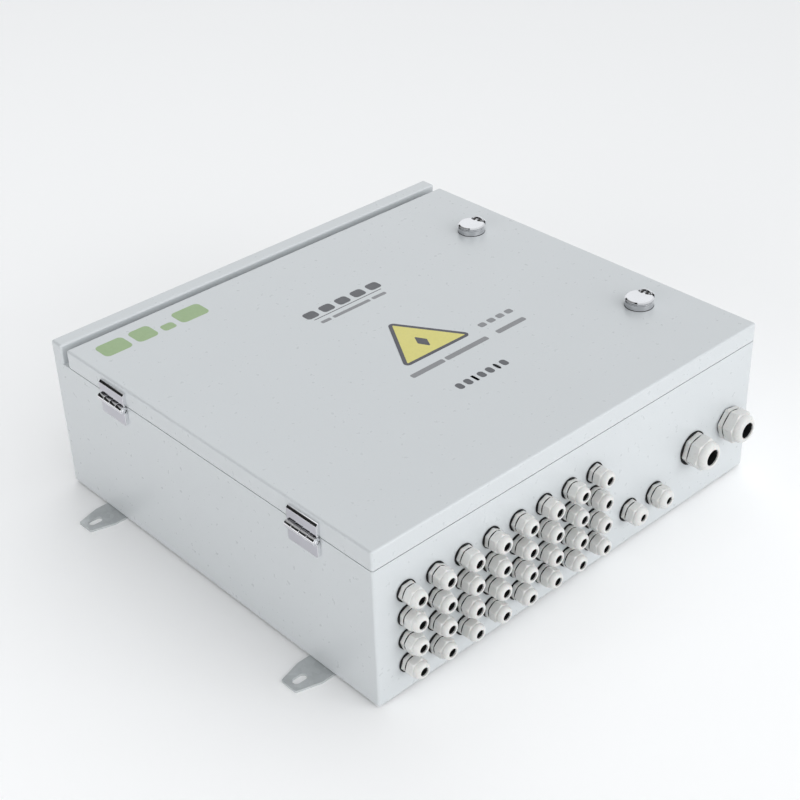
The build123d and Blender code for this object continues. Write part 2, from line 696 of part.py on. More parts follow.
def breaker_case():
    """Moulded case with four terminal recesses and a slot for the handle."""
    z1 = z_deck + breaker_h
    case = block(breaker_x0, breaker_x1, breaker_y0, breaker_y1, z_deck, z1)
    case = fillet(edges_at(case, Axis.Z), 3.0)
    mid = (breaker_x0 + breaker_x1) / 2
    raised = block(breaker_x0 + 8, breaker_x1 - 8, handle_axis_y - 34, handle_axis_y + 34,
                   z1 - 1, z1 + 6)
    case += chamfer(raised.faces().sort_by(Axis.Z)[-1].edges(), 1.5)
    for x in bar_leg_x:
        recess_x0, recess_x1 = x - 11, x + 11
        case -= block(recess_x0, recess_x1, breaker_y1 - 24, breaker_y1 + 1, bar_z - 6, z1 + 1)
        case -= block(recess_x0, recess_x1, breaker_y0 - 1, breaker_y0 + 24, bar_z - 6, z1 + 1)
    case -= block(mid - 12, mid + 12, handle_axis_y - 24, handle_axis_y + 24,
                  handle_axis_z - 10, z1 + 7)
    return case - rod_x(handle_axis_y, handle_axis_z, mid - 15, mid + 15, 3.06)


def breaker_handle():
    """Toggle leaning towards +Y at rest, on trunnions inside the case."""
    mid = (breaker_x0 + breaker_x1) / 2
    grip = block(mid - 9, mid + 9, -5, 5, 0, 40)
    grip = fillet(edges_at(grip, Axis.X, lambda c: c.Z > 30), 2.0)
    hub = rod_x(0, 0, mid - 11.5, mid + 11.5, 8.5)
    pins = rod_x(0, 0, mid - 14.5, mid + 14.5, 3.0)
    return Pos(0, handle_axis_y, handle_axis_z) * Rot(-handle_lean, 0, 0) * (grip + hub + pins)


def spd_base():
    """Base of the surge arrester: a low block with raised ends."""
    w = 2 * cartridge_w + 1.6
    y0, y1 = spd_y - 45, spd_y + 45
    base = block(spd_x - w / 2, spd_x + w / 2, y0, y1, fuse_z0, fuse_z0 + spd_base_h)
    for ya, yb in ((y0, y0 + 22), (y1 - 22, y1)):
        base += block(spd_x - w / 2, spd_x + w / 2, ya, yb, fuse_z0 + spd_base_h - 1,
                      fuse_z0 + spd_base_h + 14)
    for x in (spd_x - w / 4, spd_x + w / 4):
        base -= block(x - 1.2, x + 1.2, spd_y - 12, spd_y + 12, fuse_z0 + spd_base_h - 8,
                      fuse_z0 + spd_base_h + 1)
    return base


def spd_cartridge(x):
    """Plug-in module with a blade underneath and a state window on its face."""
    z0 = fuse_z0 + spd_base_h + 0.3
    body = block(x - cartridge_w / 2, x + cartridge_w / 2, spd_y - cartridge_len / 2 + 0.5,
                 spd_y + cartridge_len / 2 - 0.5, z0, z0 + cartridge_h - 22)
    top = block(x - cartridge_w / 2, x + cartridge_w / 2, spd_y - cartridge_len / 2 + 3,
                spd_y + cartridge_len / 2 - 3, z0 + cartridge_h - 23, z0 + cartridge_h - 8)
    window = block(x - 3, x + 3, spd_y + 6, spd_y + 12, z0 + cartridge_h - 9.5,
                   z0 + cartridge_h - 7)
    blade = block(x - 0.8, x + 0.8, spd_y - 11, spd_y + 11, z0 - 7, z0 + 1)
    return body + chamfer(top.faces().sort_by(Axis.Z)[-1].edges(), 1.2) - window + blade


def busbar(y, leg_x):
    """Flat bar along X with a leg down to its breaker terminal, pierced for the string taps."""
    x1 = leg_x + bar_w / 2
    bar = block(bar_x0, x1, y - bar_w / 2, y + bar_w / 2, bar_z, bar_z + bar_t)
    bar += block(leg_x - bar_w / 2, x1, bar_end_y, y, bar_z, bar_z + bar_t)
    taps = [rod(fuse_x0 + fuse_pitch * i, y, bar_z - 1, bar_z + bar_t + 1, 2.7)
            for i in range(fuse_units)]
    return bar - taps


def busbar_insulators():
    """Ribbed stand-off posts under both bars."""
    waist, rib = 8.0, 10.5
    height = bar_z - z_deck
    ribs = 3
    pitch = height / ribs
    points = [(0, 0)]
    for k in range(ribs):
        z = k * pitch
        points += [(rib, z), (rib, z + 0.45 * pitch), (waist, z + 0.6 * pitch),
                   (waist, z + 0.9 * pitch)]
    points += [(rib, height - 0.05 * pitch), (rib, height), (0, height)]
    post = turned(points)
    xs = [(x, y) for y in bar_y for x in (bar_x0 + 9, -71.0, 91.0)]
    return [Pos(x, y, z_deck) * post for x, y in xs]


def earth_bar():
    """Brass terminal bar on two feet."""
    x0, x1, y, z = -180.0, -60.0, -120.0, z_deck + 12
    bar = block(x0, x1, y - 6, y + 6, z, z + 9)
    for x in (x0 + 8, x1 - 8):
        bar += block(x - 6, x + 6, y - 6, y + 6, z_deck, z + 1)
    count = 8
    taps = [x0 + 18 + k * (x1 - x0 - 36) / (count - 1) for k in range(count)]
    bar -= [rod(x, y, z - 1, z + 10, 2.1) for x in taps]
    return bar


def save_equipment():
    """Everything on the plate, with one node for each moving piece."""
    xs = [fuse_x0 + fuse_pitch * i for i in range(fuse_units)]
    save("mounting_plate", mounting_plate())
    save("plate_studs", *plate_studs())
    save("din_rail", din_rail())
    save("fuse_bases", *[fuse_base(x) for x in xs])
    for i, x in enumerate(xs, start=1):
        save(f"fuse_carrier_{i}", fuse_carrier(x))
        save(f"fuse_links_{i}", *fuse_links(x))
    save("breaker_case", breaker_case())
    save("breaker_handle", breaker_handle())
    save("spd_base", spd_base())
    for i, sx in enumerate((-1, 1), start=1):
        save(f"spd_cartridge_{i}", spd_cartridge(spd_x + sx * (cartridge_w / 2 + 0.3)))
    save("positive_busbar", busbar(bar_y[0], bar_leg_x[0]))
    save("negative_busbar", busbar(bar_y[1], bar_leg_x[1]))
    save("busbar_insulators", *busbar_insulators())
    save("earth_bar", earth_bar())


save("cabinet_body", cabinet_body())
save("gland_wall", gland_wall())
save("rain_canopy", rain_canopy())
save("mounting_lugs", *[place * mounting_lug() for place in lug_places()])
save("lug_screws", *[place * Pos(side - reach, 0, 0) * lug_screw()
                     for place in lug_places() for reach in lug_screw_reach])
save("cabinet_nuts", *cabinet_nuts())
save_glands()
save("cabinet_hinge_leaves", *[hinge_leaf(y, up=-1) for y in hinge_y])
save("door_hinge_leaves", *[hinge_leaf(y, up=1) for y in hinge_y])
save("hinge_pins", *[hinge_pin(y) for y in hinge_y])
save("door_panel", door_panel())
save("door_gasket", door_gasket())
save("door_stiffeners", *[door_stiffener(x) for x in (-130.0, 130.0)])
save("door_nuts", *door_nuts())
save("warning_label", warning_label())
save_locks()
save_equipment()
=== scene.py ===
import json
from math import cos, degrees, pi, radians, sin, sqrt, tan

import bmesh
import bpy
from mathutils import Matrix, Vector


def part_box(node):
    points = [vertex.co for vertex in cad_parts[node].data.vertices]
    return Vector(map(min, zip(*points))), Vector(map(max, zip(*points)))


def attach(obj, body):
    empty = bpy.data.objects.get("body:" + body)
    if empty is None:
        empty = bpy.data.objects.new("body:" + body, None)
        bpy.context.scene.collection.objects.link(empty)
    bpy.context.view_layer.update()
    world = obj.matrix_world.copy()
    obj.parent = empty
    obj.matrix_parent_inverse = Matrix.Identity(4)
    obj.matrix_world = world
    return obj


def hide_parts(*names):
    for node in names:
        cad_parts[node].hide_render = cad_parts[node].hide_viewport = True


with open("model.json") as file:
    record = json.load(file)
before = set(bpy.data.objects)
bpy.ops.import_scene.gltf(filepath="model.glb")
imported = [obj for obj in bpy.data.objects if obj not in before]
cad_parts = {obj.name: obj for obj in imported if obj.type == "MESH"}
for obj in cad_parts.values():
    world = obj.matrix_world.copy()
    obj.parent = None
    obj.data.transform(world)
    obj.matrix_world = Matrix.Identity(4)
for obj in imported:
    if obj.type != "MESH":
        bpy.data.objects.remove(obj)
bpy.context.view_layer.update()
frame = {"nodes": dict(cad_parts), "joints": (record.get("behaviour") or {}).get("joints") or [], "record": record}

nodes = frame["nodes"]
MM = 0.001


def mm(*values):
    """Millimetres to metres."""
    return Vector(v * MM for v in values)


# ---------------------------------------------------------------- places read from the frame

WALL_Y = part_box("gland_wall")[0].y
FACE_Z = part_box("door_panel")[1].z
SIDE_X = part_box("door_panel")[0].x
JOINT = {j["name"]: j for j in frame["joints"]}
HINGE_AXIS = Vector(JOINT["door_hinge"]["pos_m"])


def bores(prefix):
    """Centres (x, z) of the record's bores whose names start with a word."""
    return [(m["pos_m"][0], m["pos_m"][2]) for m in frame["record"]["mounts"]
            if m["name"].startswith(prefix)]


# ---------------------------------------------------------------- material nodes

# sockets of a Mix node: its names repeat, so they are told apart by number
MIX_FROM_VALUE, MIX_TO_VALUE, MIX_VALUE_RESULT = 2, 3, 0
MIX_FROM_COLOR, MIX_TO_COLOR, MIX_COLOR_RESULT = 6, 7, 2


def add_node(tree, kind, **inputs):
    """A node with its inputs linked or set. A name that is no input is set as a property."""
    node = tree.nodes.new(kind)
    for key, value in inputs.items():
        if hasattr(value, "is_output"):
            tree.links.new(value, node.inputs[key])
        elif key in node.inputs:
            node.inputs[key].default_value = value
        else:
            setattr(node, key, value)
    return node


def add_range(tree, value, start, end, low, high):
    """A value between start and end mapped to low and high, and held there beyond them."""
    node = add_node(tree, "ShaderNodeMapRange", Value=value)
    for key, number in (("From Min", start), ("From Max", end), ("To Min", low),
                        ("To Max", high)):
        node.inputs[key].default_value = number
    return node.outputs["Result"]


class Look:
    """A Principled material with short calls for the textures that feed it."""

    def __init__(self, name, color, roughness, metallic=0.0, **constants):
        self.mat = bpy.data.materials.new(name)
        self.mat.use_nodes = True
        self.tree = self.mat.node_tree
        self.shader = self.tree.nodes["Principled BSDF"]
        self.set("Base Color", (*color, 1.0))
        self.set("Roughness", roughness)
        self.set("Metallic", metallic)
        for key, value in constants.items():
            self.set(key.replace("_", " "), value)
        self.color = color
        self.mat.diffuse_color = (*color, 1.0)
        self.height = None

    def set(self, socket, value):
        self.shader.inputs[socket].default_value = value

    def add(self, kind, **inputs):
        return add_node(self.tree, kind, **inputs)

    def link(self, out, socket):
        self.tree.links.new(out, self.shader.inputs[socket])

    def coords(self, scale=(1, 1, 1)):
        """Object coordinates, which are the row frame in metres, stretched if asked."""
        place = self.add("ShaderNodeTexCoord").outputs["Object"]
        return self.add("ShaderNodeMapping", Vector=place, Scale=scale).outputs["Vector"]

    def noise(self, scale, detail=3.0, stretch=(1, 1, 1), rough=0.55):
        return self.add("ShaderNodeTexNoise", Vector=self.coords(stretch), Scale=scale,
                        Detail=detail, Roughness=rough).outputs["Fac"]

    def cells(self, scale, out="Distance"):
        return self.add("ShaderNodeTexVoronoi", Vector=self.coords(), Scale=scale).outputs[out]

    def facing(self):
        """How squarely the surface faces along its own X axis."""
        normal = self.add("ShaderNodeTexCoord").outputs["Normal"]
        part = self.add("ShaderNodeSeparateXYZ", Vector=normal).outputs["X"]
        size = self.add("ShaderNodeMath", operation="ABSOLUTE")
        self.tree.links.new(part, size.inputs[0])
        return size.outputs["Value"]

    def span(self, value, low, high, start=0.3, end=0.7):
        return add_range(self.tree, value, start, end, low, high)

    def tint(self, factor, shades, base=None):
        """Mix the base colour towards another by a factor, and return the colour."""
        node = self.add("ShaderNodeMix", data_type="RGBA")
        self.tree.links.new(factor, node.inputs["Factor"])
        if base is None:
            node.inputs[MIX_FROM_COLOR].default_value = (*self.color, 1.0)
        else:
            self.tree.links.new(base, node.inputs[MIX_FROM_COLOR])
        node.inputs[MIX_TO_COLOR].default_value = (*shades, 1.0)
        mixed = node.outputs[MIX_COLOR_RESULT]
        self.link(mixed, "Base Color")
        return mixed

    def relief(self, value, distance, strength=1.0):
        """Add a layer of bump, in metres of height."""
        node = self.add("ShaderNodeBump", Height=value, Distance=distance, Strength=strength)
        if self.height is not None:
            self.tree.links.new(self.height, node.inputs["Normal"])
        self.height = node.outputs["Normal"]
        self.link(self.height, "Normal")
        return self


def scaled(color, factor):
    """A colour made lighter or darker."""
    return tuple(min(1.0, c * factor) for c in color)


def powder_coat():
    """Light grey baked powder: fine orange peel, faint cloudiness and a rare dust speck."""
    look = Look("powder_coat", (0.572, 0.598, 0.612), 0.30, Coat_Weight=0.15, Coat_Roughness=0.22)
    cloud = look.tint(look.span(look.noise(9.0), 0.0, 0.5), scaled(look.color, 0.97))
    grain = look.tint(look.span(look.noise(900.0), 0.0, 0.5), scaled(look.color, 0.94), base=cloud)
    specks = look.span(look.cells(6.5), 0.3, 0.0, 0.0008, 0.0018)
    look.tint(specks, (0.52, 0.54, 0.55), base=grain)
    look.link(look.span(look.noise(160.0), 0.27, 0.35), "Roughness")
    look.relief(look.noise(620.0, detail=2.0), 0.00010, 0.5)
    look.relief(look.noise(2400.0, detail=2.0), 0.00003, 0.4)
    return look.mat


def moulded(name, color, roughness=0.38, grain=1800.0, depth=0.00003, **constants):
    """Injection-moulded plastic with a fine spark-eroded grain."""
    look = Look(name, color, roughness, **constants)
    look.tint(look.span(look.noise(70.0), 0.0, 0.6), scaled(color, 0.93))
    look.link(look.span(look.noise(240.0), roughness - 0.05, roughness + 0.06), "Roughness")
    return look.relief(look.noise(grain, detail=2.0), depth, 0.6).mat


def rubber(name, color=(0.012, 0.012, 0.013), roughness=0.55, pores=900.0, depth=0.00008):
    """Soft black rubber or foam, a little dusty."""
    look = Look(name, color, roughness, Specular_IOR_Level=0.25)
    look.tint(look.span(look.noise(120.0), 0.0, 0.4), scaled(color, 2.2))
    look.link(look.span(look.noise(300.0), roughness - 0.1, roughness + 0.12), "Roughness")
    return look.relief(look.noise(pores), depth, 0.7).mat


def plated(name, color, low, high, scratch=(1, 1, 1), scratch_scale=900.0, depth=0.00001,
           x_face_shade=None):
    """Plated metal: uneven polish, hair-fine marks, and a painted shade darkening faces across X if asked."""
    look = Look(name, color, low, metallic=1.0)
    worn = look.tint(look.span(look.noise(45.0), 0.0, 0.6), scaled(color, 0.92))
    # faces across X get a darker colour: painted shade, not a finish of the metal
    if x_face_shade:
        look.tint(look.span(look.facing(), 0.0, 1.0, 0.985, 0.995), x_face_shade, base=worn)
    look.link(look.span(look.noise(110.0), low, high), "Roughness")
    return look.relief(look.noise(scratch_scale, stretch=scratch), depth, 0.5).mat


def galvanised():
    """Zinc-dipped sheet: pale and dark spangles, dull in places."""
    look = Look("galvanised", (0.60, 0.625, 0.63), 0.42, metallic=0.7)
    cells = look.add("ShaderNodeSeparateColor", Color=look.cells(170.0, "Color")).outputs["Red"]
    spangle = look.tint(look.span(cells, 0.0, 0.75, 0.0, 1.0), (0.47, 0.49, 0.495))
    look.tint(look.span(look.noise(35.0), 0.0, 0.55), (0.68, 0.695, 0.70), base=spangle)
    look.link(look.span(look.noise(260.0), 0.34, 0.52), "Roughness")
    return look.relief(look.noise(700.0), 0.00004, 0.5).mat


def bare_metal(name, color, low=0.22, high=0.4, grain=(1, 12, 1), tarnish=0.8):
    """Rolled copper, brass or zinc plate with a faint rolling direction and tarnish."""
    look = Look(name, color, low, metallic=1.0)
    look.tint(look.span(look.noise(60.0, stretch=grain), 0.0, 0.7), scaled(color, tarnish))
    look.link(look.span(look.noise(300.0, stretch=grain), low, high), "Roughness")
    return look.relief(look.noise(1500.0, stretch=grain), 0.000015, 0.5).mat


def printed(name, color):
    """Matt ink or film with the orange peel of the paint under it."""
    look = Look(name, color, 0.42)
    look.tint(look.span(look.noise(380.0), 0.0, 0.5), scaled(color, 0.9))
    look.link(look.span(look.noise(160.0), 0.36, 0.48), "Roughness")
    return look.relief(look.noise(620.0, detail=2.0), 0.00008, 0.4).mat


PAINT = powder_coat()
GLAND = moulded("gland_nylon", (0.63, 0.63, 0.615), 0.30, Subsurface_Weight=0.06,
                Subsurface_Scale=0.002, Coat_Weight=0.1)
# black rubber of the seal sleeves; also colours the painted shade rings in the gland grooves
SEAL_AND_GROOVE_SHADE = rubber("seal_rubber_and_groove_shade", (0.004, 0.004, 0.0045), 0.7)
# black rubber of the gland washers; also colours the painted contact shadow rings under the lock collars
WASHER_AND_COLLAR_SHADOW = rubber("washer_rubber_and_collar_shadow", (0.004, 0.004, 0.0045), 0.65)
FOAM = rubber("gasket_foam", (0.02, 0.02, 0.021), 0.8, pores=2600.0, depth=0.0002)
# satin chrome: the darker colour on faces across X is painted shade
HINGE_CHROME = plated("satin_chrome", (0.86, 0.86, 0.88), 0.06, 0.11, scratch=(1, 6, 1),
                      depth=0.000003, x_face_shade=(0.53, 0.525, 0.565))
LOCK_CHROME = plated("polished_chrome", (0.60, 0.605, 0.62), 0.05, 0.10, depth=0.000003)
SPRING = bare_metal("spring_steel", (0.16, 0.155, 0.15), 0.3, 0.45)
ZINC = bare_metal("zinc_plate", (0.66, 0.66, 0.64), 0.26, 0.4, grain=(1, 1, 1))
GALVANISED = galvanised()
COPPER = bare_metal("copper", (0.80, 0.42, 0.27))
BRASS = bare_metal("brass", (0.80, 0.62, 0.30))
DEVICE = moulded("device_grey", (0.62, 0.63, 0.62), 0.42)
CARRIER = moulded("carrier_grey", (0.30, 0.32, 0.34), 0.40)
CARTRIDGE = moulded("cartridge_red", (0.50, 0.055, 0.04), 0.40)
BLACK = moulded("black_plastic", (0.018, 0.018, 0.02), 0.38)
CERAMIC = moulded("fuse_ceramic", (0.84, 0.82, 0.76), 0.22, grain=900.0, Coat_Weight=0.4)
INSULATOR = moulded("insulator_red", (0.36, 0.035, 0.025), 0.32, Coat_Weight=0.2)
YELLOW = printed("label_yellow", (0.665, 0.61, 0.17))
FLAG = moulded("flag_green", (0.05, 0.36, 0.09), 0.35)
DARK_INK = printed("dark_ink", (0.05, 0.05, 0.068))
GREY_INK = printed("grey_ink", (0.08, 0.084, 0.094))
FINE_INK = printed("fine_ink", (0.22, 0.225, 0.235))
GREEN_INK = printed("green_ink", (0.29, 0.41, 0.21))


# ---------------------------------------------------------------- mesh pieces

def turns(count, start=0.0):
    """Evenly spaced angles of a full turn."""
    return [start + 2 * pi * k / count for k in range(count)]


class Shape:
    """Collects solids in one mesh, in millimetres of a local frame, and turns it into a piece."""

    def __init__(self):
        self.bm = bmesh.new()

    def ring_stack(self, rings, angles, place, shape=None):
        """Closed profile of (radius, height) turned round a local axis at the given angles.
        A third value in a ring names how shape(radius, angle, name) changes its radius."""
        rows = []
        for radius, height, *kind in rings:
            row = []
            for angle in angles:
                r = shape(radius, angle, kind[0]) if kind else radius
                row.append(self.bm.verts.new(place(r * cos(angle), r * sin(angle), height)))
            rows.append(row)
        for low, high in zip(rows, rows[1:] + rows[:1]):
            for k in range(len(angles)):
                after = (k + 1) % len(angles)
                self.bm.faces.new((low[k], low[after], high[after], high[k]))
        return self

    def rod(self, radius, low, high, place, segments=32, ease=0.0):
        """A round bar between two heights, with eased ends."""
        levels = [(radius - ease, low), (radius, low + ease), (radius, high - ease),
                  (radius - ease, high)] if ease else [(radius, low), (radius, high)]
        rows = [[self.bm.verts.new(place(r * cos(a), r * sin(a), h)) for a in turns(segments)]
                for r, h in levels]
        for lower, upper in zip(rows, rows[1:]):
            for k in range(segments):
                after = (k + 1) % segments
                self.bm.faces.new((lower[k], lower[after], upper[after], upper[k]))
        self.bm.faces.new(rows[0][::-1])
        self.bm.faces.new(rows[-1])
        return self

    def prism(self, outline, low, high, place):
        """A straight prism: an outline of (u, v) points between two heights."""
        bottom = [self.bm.verts.new(place(u, v, low)) for u, v in outline]
        top = [self.bm.verts.new(place(u, v, high)) for u, v in outline]
        count = len(outline)
        for k in range(count):
            after = (k + 1) % count
            self.bm.faces.new((bottom[k], bottom[after], top[after], top[k]))
        self.bm.faces.new(reversed(bottom))
        self.bm.faces.new(top)
        return self

    def box(self, low, high, place=None):
        """A box between two corners."""
        (x0, y0, z0), (x1, y1, z1) = low, high
        return self.prism([(x0, y0), (x1, y0), (x1, y1), (x0, y1)], z0, z1, place or mm)

    def bevel(self, width, angle=30.0, segments=2):
        """Round every edge sharper than an angle."""
        bmesh.ops.recalc_face_normals(self.bm, faces=self.bm.faces)
        edges = [e for e in self.bm.edges
                 if len(e.link_faces) == 2 and e.calc_face_angle(0) > radians(angle)]
        bmesh.ops.bevel(self.bm, geom=edges, offset=width * MM, segments=segments, profile=0.6,
                        affect="EDGES", clamp_overlap=True)
        return self

    def piece(self, name, material, body, slot, replaces=(), sharp=40.0):
        """The finished object, riding on its body."""
        bmesh.ops.recalc_face_normals(self.bm, faces=self.bm.faces)
        mesh = bpy.data.meshes.new(name)
        self.bm.to_mesh(mesh)
        self.bm.free()
        for face in mesh.polygons:
            face.use_smooth = True
        mesh.set_sharp_from_angle(angle=radians(sharp))
        mesh.materials.append(material)
        made = bpy.data.objects.new(name, mesh)
        bpy.context.scene.collection.objects.link(made)
        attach(made, body)
        if replaces:
            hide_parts(*replaces)
        return made


def upright(x, y, z):
    """Local axis along +Z from a point given in metres."""
    return lambda u, v, w: Vector((x, y, z)) + mm(u, v, w)


def outward(x, z):
    """Local axis along -Y, out of the gland wall."""
    return lambda u, v, w: Vector((x, WALL_Y, z)) + mm(u, -w, v)


def along_y(x, y, z):
    """Local axis along +Y, with u along X and v along Z."""
    return lambda u, v, w: Vector((x, y, z)) + mm(u, w, v)


def along_x(x, y, z):
    """Local axis along +X, with u along Y and v along Z."""
    return lambda u, v, w: Vector((x, y, z)) + mm(w, u, v)


def arc(cx, cy, r, start, end, steps=6):
    """Points on an arc, angles in degrees."""
    sweep = [radians(start + (end - start) * k / steps) for k in range(steps + 1)]
    return [(cx + r * cos(t), cy + r * sin(t)) for t in sweep]


# ---------------------------------------------------------------- cable glands

WASHER_T, WALL_T, LOCKNUT_T, TAIL = 1.5, 1.5, 4.5, 9.0
GROOVE = 1.4             # between a gland's flange and its nut
SECTOR = (0, 1.5, 3.6, 8, 14, 22, 30, 38, 46, 52, 56.4, 58.5)      # degrees from a hexagon corner


def hex_angles(turn):
    """Angles round a hexagonal piece, close together at its corners."""
    return [radians(turn + 60 * side + off) for side in range(6) for off in SECTOR]


class Gland:
    """Sizes of one gland in millimetres, and its stations outwards from the wall."""

    def __init__(self, flats, bore, thread, length):
        self.bore, self.thread, self.length = bore, thread, length
        self.half, self.corner = flats / 2, flats / sqrt(3)
        self.washer = self.corner + 0.45
        self.flange = WASHER_T + 0.18 * length
        self.nut = self.flange + GROOVE
        self.hex_end = 0.71 * length
        self.dome = self.half - 0.3

    def shaper(self, turn, grow=0.0):
        """How a ring leaves its circle: cut to the hexagon, or notched into claws."""
        soft, slit, slit_half = 0.16, 0.55, 7.5

        def shape(radius, angle, kind):
            off = (degrees(angle) - turn) % 60.0
            if kind == "claw":
                from_slit = min(off % 30.0, 30.0 - off % 30.0)
                return radius + (0.0 if from_slit > slit_half else slit)
            flat = (self.half + grow) / cos(radians(off - 30.0))
            gap = flat - radius
            return (flat + radius) / 2 - sqrt(gap * gap + soft) / 2 + soft / 8
        return shape

    def nut_rings(self):
        """Hexagon, chamfer, dome, mouth with claws, and the hollow inside."""
        corner, length = self.corner, self.length
        nose, ring_line = self.bore + 0.9, self.hex_end + 0.6
        rings = [(self.thread + 0.2, self.nut), (self.half - 0.7, self.nut),
                 (corner - 0.8, self.nut + 0.02, "hex"), (corner + 0.05, self.nut + 0.3, "hex"),
                 (corner + 0.2, self.nut + 0.6, "hex"), (corner + 0.2, self.hex_end - 1.3, "hex"),
                 (corner - 0.3, self.hex_end - 0.9, "hex"), (self.half + 0.05, self.hex_end, "hex"),
                 (self.half - 0.2, self.hex_end + 0.15), (self.dome - 0.3, self.hex_end + 0.3),
                 (self.dome, ring_line)]
        rise, steps = length - ring_line, 14
        for k in range(1, steps + 1):
            t = pi / 2 * k / steps
            rings.append((nose + (self.dome - nose) * cos(t) ** 0.9, ring_line + rise * sin(t)))
        rings += [(self.bore + 0.55, length - 0.06), (self.bore + 0.25, length - 0.4),
                  (self.bore + 0.15, length - 0.8, "claw"), (self.bore + 0.1, length - 1.7, "claw"),
                  (self.thread - 0.6, length - 3.4), (self.thread + 0.1, 0.6 * length)]
        return rings

    def body_rings(self):
        """Threaded tube with its hexagonal flange."""
        corner = self.corner
        return [(self.bore, -TAIL), (self.thread, -TAIL), (self.thread, WASHER_T),
                (corner - 0.3, WASHER_T, "hex"), (corner + 0.2, WASHER_T + 0.3, "hex"),
                (corner + 0.2, self.flange - 0.7, "hex"), (corner - 0.15, self.flange - 0.2, "hex"),
                (corner - 0.9, self.flange, "hex"), (self.thread - 0.1, self.flange),
                (self.thread - 0.1, 0.55 * self.length), (self.bore, 0.55 * self.length)]

    def washer_rings(self, radius):
        """Flat washer with eased edges, just clear of the wall."""
        inner, clear, ease = self.thread + 0.2, 0.02, 0.3
        return [(inner, clear), (radius - ease, clear), (radius, ease),
                (radius, WASHER_T - ease), (radius - ease, WASHER_T), (inner, WASHER_T)]

    def groove_shade_rings(self):
        """Thin black ring in the groove between flange and nut: painted shade in the groove, which is the gland's
        own plastic.
        """
        inner, outer = self.thread + 0.05, self.half - 0.05
        return [(inner, self.flange + 0.05), (outer, self.flange + 0.05), (outer, self.nut - 0.05),
                (inner, self.nut - 0.05)]

    def seal_rings(self):
        """Rubber sleeve round the bore, seen in the gland's mouth."""
        front = self.length - 1.9
        return [(self.bore - 0.2, 0.56 * self.length), (self.thread - 0.5, 0.56 * self.length),
                (self.bore + 1.2, front - 0.5), (self.bore + 0.2, front),
                (self.bore - 0.2, front - 0.4)]

    def locknut_rings(self):
        """Chamfered hexagon nut against the inside of the wall."""
        rim, face, hole, ease = self.corner + 1.9, self.half + 1.2, self.thread + 0.02, 0.5
        near, far = -WALL_T, -WALL_T - LOCKNUT_T
        return [(hole, far), (face, far), (rim, far + ease, "hex"), (rim, near - ease, "hex"),
                (face, near), (hole, near)]


SMALL_WASHER = ("main_gland", 1)        # this gland's washer stays behind its flange


def make_glands():
    """All the glands: bodies and nuts by family, washers, seal sleeves with the painted groove shade rings, and
    locknuts together.
    """
    families = {"string": [(Gland(19.0, 4.4, 7.5, 22.0), "string_gland")],
                "outlet": [(Gland(22.0, 4.0, 9.0, 21.5), "earth_gland"),
                           (Gland(33.0, 9.0, 14.0, 27.5), "main_gland")]}
    washers, seals_and_groove_shade, locknuts = Shape(), Shape(), Shape()
    for family, kinds in families.items():
        bodies, nuts = Shape(), Shape()
        for gland, prefix in kinds:
            for k, (x, z) in enumerate(bores(prefix)):
                turn, place = (k * 37 + 11) % 60, outward(x, z)
                angles, shape = hex_angles(turn), gland.shaper(turn)
                washer = gland.half - 0.2 if (prefix, k) == SMALL_WASHER else gland.washer
                nuts.ring_stack(gland.nut_rings(), angles, place, shape)
                bodies.ring_stack(gland.body_rings(), angles, place, shape)
                washers.ring_stack(gland.washer_rings(washer), turns(64), place)
                seals_and_groove_shade.ring_stack(gland.seal_rings(), turns(48), place)
                # black ring in the groove between flange and nut: painted shade
                seals_and_groove_shade.ring_stack(gland.groove_shade_rings(), turns(48), place)
                locknuts.ring_stack(gland.locknut_rings(), angles, place, gland.shaper(turn, 1.5))
        node = family + "_gland_"
        bodies.piece(node + "bodies_fine", GLAND, "cabinet", "gland_plastic", [node + "bodies"])
        nuts.piece(node + "nuts_fine", GLAND, "cabinet", "gland_plastic", [node + "nuts"])
    washers.piece("gland_washers_fine", WASHER_AND_COLLAR_SHADOW, "cabinet", "black_rubber", ["gland_washers"])
    seals_and_groove_shade.piece("gland_seals_and_groove_shade_fine", SEAL_AND_GROOVE_SHADE, "cabinet", "black_rubber", ["gland_seals"])
    locknuts.piece("gland_locknuts_fine", GLAND, "cabinet", "gland_plastic", ["gland_locknuts"])


# ---------------------------------------------------------------- hinges

LEAF_T, LEAF_H, LEAF_W, LEAF_BEVEL, LEAF_CORNER = 4.0, 14.3, 42.0, 2.0, 2.5
LEAF_FALL = 0.15         # slope of the door leaf's top edge
KNUCKLE_R, KNUCKLES, LEAF_NEAR, PIN_R = 4.0, 4, 4.45, 2.3


